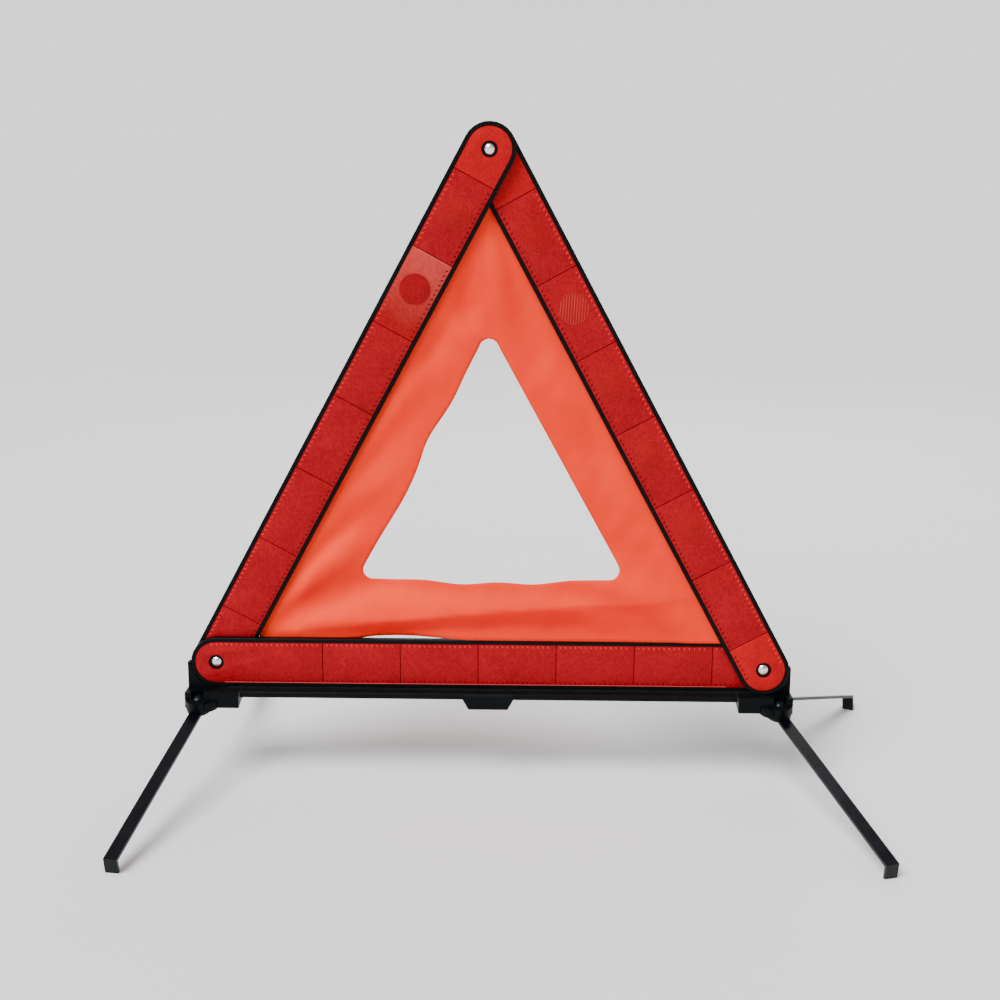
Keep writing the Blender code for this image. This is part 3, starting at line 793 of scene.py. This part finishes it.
def lower_edge(x):
    """Height of the cut lower edge: behind the bar on the left, just over its top from there on."""
    at = x / MM
    height = EDGE_HIDDEN + (EDGE_CLEAR - EDGE_HIDDEN) * smooth(at, *EDGE_RISE)
    height -= EDGE_DROP * smooth(at, *EDGE_SETTLE)
    return (height + SLIT_RISE * math.exp(-((at - SLIT_MIDDLE) / SLIT_REACH) ** 2)) * MM


def panel_outline():
    """The cut outer edge: tucked behind the arms, loose along the bar."""
    low_left, low_right = lower_edge(-FAR_OUT), lower_edge(FAR_OUT)
    left_reach = inner_half_width(low_left) - PANEL_TRIM
    right_reach = inner_half_width(low_right) + PANEL_TUCK
    steps = 110
    points = []
    for n in range(steps):
        x = -left_reach + (left_reach + right_reach) * n / steps
        points.append((x, lower_edge(x)))
    sides = 104
    high = MEETING + 1.5 * MM
    for n in range(sides):
        z = low_right + (high - low_right) * n / sides
        points.append((inner_half_width(z) + PANEL_TUCK, z))
    points.append((PANEL_TUCK * 0.5, high))
    points.append((-PANEL_TUCK * 0.5, high))
    for n in range(sides - 1, 0, -1):
        z = low_left + (high - low_left) * n / sides
        tuck = -PANEL_TRIM + (PANEL_TUCK + PANEL_TRIM) * smooth(z / MM, *TUCK_LEVELS)
        points.append((-inner_half_width(z) - tuck, z))
    return points


def fold_line(x, z, start, end, width, height, skew):
    """A soft crease from start to end that fades at both ends: a ridge with one steeper side."""
    a, b = Vector(start), Vector(end)
    span = (b - a).length
    along = (b - a) / span
    at = Vector((x, z)) - a
    t = at.dot(along) / span
    if t < -0.15 or t > 1.15:
        return 0.0
    off = (at.x * along.y - at.y * along.x) / width
    fade = max(0.0, math.sin(math.pi * min(max((t + 0.15) / 1.3, 0), 1)))
    return height * fade * math.exp(-(off - skew * math.tanh(off)) ** 2)


FOLDS = [
    # start, end, width, height, skew, in mm: x and height above the bar's middle, minus is forward
    ((-166, 26), (-60, 70), 9, 3.4, 0.3),
    ((-160, 40), (-92, 92), 7, -3.2, 0.4),
    ((-150, 60), (-86, 122), 7, 3.0, 0.3),
    ((-134, 84), (-74, 146), 8, -2.6, 0.4),
    ((-112, 112), (-66, 168), 8, 2.0, 0.3),
    ((-96, 160), (-52, 214), 9, -2.4, 0.3),
    ((-66, 206), (-16, 262), 9, 2.6, 0.3),
    ((-40, 262), (-8, 226), 7, -2.2, 0.3),
    ((-20, 312), (-14, 250), 6, 2.4, 0.3),
    ((4, 318), (8, 250), 6, -2.2, 0.3),
    ((22, 276), (34, 214), 8, 2.0, 0.3),
    ((46, 226), (60, 176), 8, -1.8, 0.2),
    ((70, 186), (88, 128), 9, 1.8, 0.3),
    ((122, 100), (94, 150), 9, -1.8, 0.2),
    ((158, 30), (96, 92), 9, 2.4, 0.3),
    ((150, 26), (84, 64), 8, -2.6, 0.3),
    ((-90, 60), (20, 52), 8, 2.0, 0.2),
    ((30, 56), (126, 44), 7, 2.2, 0.3),
]
SWAG_START = Vector((-150, 22))  # the long forward crease of the lower band
SWAG_END = Vector((112, 45))
SWAG_DEPTH = 6.5
SWAG_ARCH = 5  # how far its line bows up in the middle
SWAG_RISE = 3.5


def swag(x, z):
    """The lower band's long crease: it leans out over a short steep underside and a broad upper side.
    Gives how far back it takes the cloth in mm, and how much of its underside is here, the mask of the
    painted shade under the crease."""
    share = (x - SWAG_START.x) / (SWAG_END.x - SWAG_START.x)
    if share <= -0.08 or share >= 1.15:
        return 0.0, 0.0
    level = SWAG_START.y
    if share > 0:
        level += (SWAG_END.y - SWAG_START.y) * (0.25 * share + 0.75 * share**1.4)
        level += SWAG_ARCH * math.sin(math.pi * min(share, 1)) + SWAG_RISE * share
    off = z - level
    reach = 10 + 8 * max(share, 0) if off < 0 else 16 + 5 * share
    strength = math.sin(math.pi * min(max((share + 0.08) / 1.23, 0), 1)) ** 0.7
    strength *= math.exp(-abs(off / reach) ** 1.5)
    return -SWAG_DEPTH * strength, strength * smooth(-off, -1, 1.5)


def panel_depth(x, z):
    """How far back the cloth lies: between the two arms' backs, with soft folds away from its edges.
    Its lower edge runs behind the bar on the left and leans out over it on the right."""
    width = inner_half_width(z) + 2 * MM
    share = max(-1.0, min(1.0, x / max(width, 4 * MM)))
    level = PANEL_GAP - left_swing(z) * share
    to_side = (inner_half_width(z) - abs(x)) * LEFT_ALONG.z
    hold = smooth(to_side / MM, *HELD_MARGIN)
    swell = 0.0
    for start, end, spread, height, skew in FOLDS:
        swell += fold_line(x / MM, z / MM, start, end, spread, height, skew)
    swell += swag(x / MM, z / MM)[0]
    broad = noise.noise(Vector((x * 34, z * 26, 3.7)))
    fine = noise.noise(Vector((x * 85, z * 60, 9.1)))
    swell += 0.9 * (broad + 0.5 * fine)
    depth = level + swell * MM * hold
    behind = max(depth, TRAY_BACK + 0.7 * MM)
    before = min(depth, TRAY_FRONT - 0.4 * MM)
    crossing = smooth(x / MM, *CROSSING)
    near_bar = 1 - smooth(z / MM, *NEAR_BAR)
    target = behind + (before - behind) * crossing
    return depth + (target - depth) * near_bar


def flat_sheet():
    """A fine triangle mesh of the flat panel, cut to its outline and hole."""
    outer, inner = panel_outline(), hole_outline()
    made = bmesh.new()
    for outline in (outer, inner):
        ring = [made.verts.new((x, z, 0)) for x, z in outline]
        for n, vertex in enumerate(ring):
            made.edges.new((vertex, ring[(n + 1) % len(ring)]))
    bmesh.ops.triangle_fill(made, edges=made.edges[:], use_beauty=True)
    for _ in range(6):
        inner_edges = [edge for edge in made.edges if not edge.is_boundary]
        long_edges = [edge for edge in inner_edges if edge.calc_length() > PANEL_STEP * 1.25]
        if not long_edges:
            break
        bmesh.ops.subdivide_edges(made, edges=long_edges, cuts=1, use_grid_fill=False)
        bmesh.ops.triangulate(made, faces=made.faces[:], quad_method="BEAUTY", ngon_method="BEAUTY")
        inner_edges = [edge for edge in made.edges if not edge.is_boundary]
        bmesh.ops.beautify_fill(made, faces=made.faces[:], edges=inner_edges)
    inside = [v for v in made.verts if not v.is_boundary]
    for _ in range(4):
        bmesh.ops.smooth_vert(made, verts=inside, factor=0.5, use_axis_x=True, use_axis_y=True)
    return made


def painted_cloth_shading(x, z):
    """Painted light and shade for the cloth: paler where it faces up and to the left, deeper under its
    creases as painted shade.
    """
    step = 1.5 * MM
    back_up = (panel_depth(x, z + step) - panel_depth(x, z - step)) / (2 * step)
    back_right = (panel_depth(x + step, z) - panel_depth(x - step, z)) / (2 * step)
    under = swag(x / MM, z / MM)[1]
    return 0.54 + 0.55 * back_up - 0.25 * back_right - 0.5 * under


def build_fabric(material):
    made = flat_sheet()
    add_uv(made)
    area = sum(face.calc_area() for face in made.faces)
    # painted light and shade per vertex: paler where the cloth faces up and left, darker under the crease
    painted_shading = made.verts.layers.float.new("painted_shading")
    for vertex in made.verts:
        x, z = vertex.co.x, vertex.co.y
        vertex[painted_shading] = painted_cloth_shading(x, z)
        vertex.co = (BAR_MIDDLE.x + x, BAR_MIDDLE.y + panel_depth(x, z), BAR_MIDDLE.z + z)
    bmesh.ops.recalc_face_normals(made, faces=made.faces)
    made.faces.ensure_lookup_table()
    if made.faces[0].normal.y > 0:
        bmesh.ops.reverse_faces(made, faces=made.faces)
    piece = new_piece("fluorescent_panel", made, Matrix.Identity(4), [material])
    solid = piece.modifiers.new("thickness", "SOLIDIFY")
    solid.thickness = CLOTH_THICKNESS
    solid.offset = 0
    bpy.context.view_layer.update()
    thick = evaluated_mesh(piece)
    piece.modifiers.clear()
    piece.data = thick
    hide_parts("warning_panel")
    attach(piece, "base")
    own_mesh(piece)


# ---------------------------------------------------------------- stage

VIEW_TARGET = Vector((8, 0, 123)) * MM  # what the camera looks at, from the bar's middle
VIEW_DISTANCE = 1.0  # across the floor
VIEW_AZIMUTH = 1.0  # these three in degrees
VIEW_ELEVATION = 12
VIEW_ROLL = 0.25
FOCAL_SHARE = 1.428  # focal length, in sensor widths
AIM = Vector((0, 0, 0.2))  # what the lamps are turned to
SKY_LOW = 1.45  # how bright the sky is at the horizon
SKY_HIGH = 0.55  # and overhead
SUN_FROM = Vector((-0.45, -0.55, 0.9))


def make_camera():
    """In front of the triangle and slightly above it, as in the photo."""
    azimuth, elevation = math.radians(VIEW_AZIMUTH), math.radians(VIEW_ELEVATION)
    back = VIEW_DISTANCE * Vector((math.sin(azimuth), -math.cos(azimuth), math.tan(elevation)))
    camera = bpy.data.objects.new("camera", bpy.data.cameras.new("camera"))
    bpy.context.scene.collection.objects.link(camera)
    camera.data.sensor_width = 36
    camera.data.lens = camera.data.sensor_width * FOCAL_SHARE
    camera.location = BAR_MIDDLE + VIEW_TARGET + back
    camera.rotation_mode = "QUATERNION"
    roll = Matrix.Rotation(math.radians(VIEW_ROLL), 3, "Z").to_quaternion()
    camera.rotation_quaternion = back.to_track_quat("Z", "Y") @ roll
    bpy.context.scene.camera = camera


def soft_light(name, location, size, power):
    """A round lamp aimed at the middle of the triangle."""
    data = bpy.data.lights.new(name, "AREA")
    data.shape = "DISK"
    data.size = size
    data.energy = power
    lamp = bpy.data.objects.new(name, data)
    bpy.context.scene.collection.objects.link(lamp)
    lamp.location = location
    lamp.rotation_mode = "QUATERNION"
    lamp.rotation_quaternion = (Vector(location) - AIM).to_track_quat("Z", "Y")


def make_world():
    """A pale sky, brightest along the horizon so that the floor runs on into it."""
    world = bpy.data.worlds.new("studio")
    bpy.context.scene.world = world
    world.use_nodes = True
    background = world.node_tree.nodes["Background"]
    background.inputs["Color"].default_value = (1, 1, 1, 1)
    tree = world.node_tree
    split = tree.nodes.new("ShaderNodeSeparateXYZ")
    tree.links.new(tree.nodes.new("ShaderNodeTexCoord").outputs["Generated"], split.inputs["Vector"])
    fade = tree.nodes.new("ShaderNodeMapRange")
    tree.links.new(split.outputs["Z"], fade.inputs["Value"])
    limits = {"From Min": 0.1, "From Max": 0.4, "To Min": SKY_LOW, "To Max": SKY_HIGH}
    for socket, value in limits.items():
        fade.inputs[socket].default_value = value
    tree.links.new(fade.outputs["Result"], background.inputs["Strength"])


def make_floor():
    made = bmesh.new()
    bmesh.ops.create_circle(made, cap_ends=True, radius=30, segments=64)
    floor = new_piece("floor", made, Matrix.Translation((0, 0, -0.2 * MM)), [])
    m = Nodes("pale_floor")
    grain = m.noise(m.object_coordinates(), 3, 3)
    floor.data.materials.append(m.finish(m.ramp(grain, (0.83, 0.83, 0.83), (0.85, 0.85, 0.85))))
    m.set(Roughness=0.8, Specular_IOR_Level=0.1)


def make_lights():
    sun = bpy.data.objects.new("window", bpy.data.lights.new("window", "SUN"))
    sun.data.energy = 4.4
    sun.data.angle = math.radians(34)
    bpy.context.scene.collection.objects.link(sun)
    sun.rotation_mode = "QUATERNION"
    sun.rotation_quaternion = SUN_FROM.to_track_quat("Z", "Y")
    soft_light("key", (-0.9, -1.6, 1.9), 1.0, 10)
    soft_light("rim", (0.3, 1.6, 1.4), 1.2, 8)


# ---------------------------------------------------------------- the object

def paint(node, material):
    obj = frame["nodes"][node]
    obj.data.materials.clear()
    obj.data.materials.append(material)


def main():
    make_camera()
    make_world()
    make_floor()
    make_lights()
    plastic, steel, bright = black_plastic(), black_steel(), bright_aluminium()
    for node in frame["nodes"]:
        if "rivet" in node:
            paint(node, bright)
        elif node.startswith("leg_"):
            paint(node, steel)
        else:
            paint(node, plastic)
    build_reflectors()
    build_backs(plastic)
    build_knuckle_lugs(plastic)
    build_fabric(fluorescent_fabric())


main()
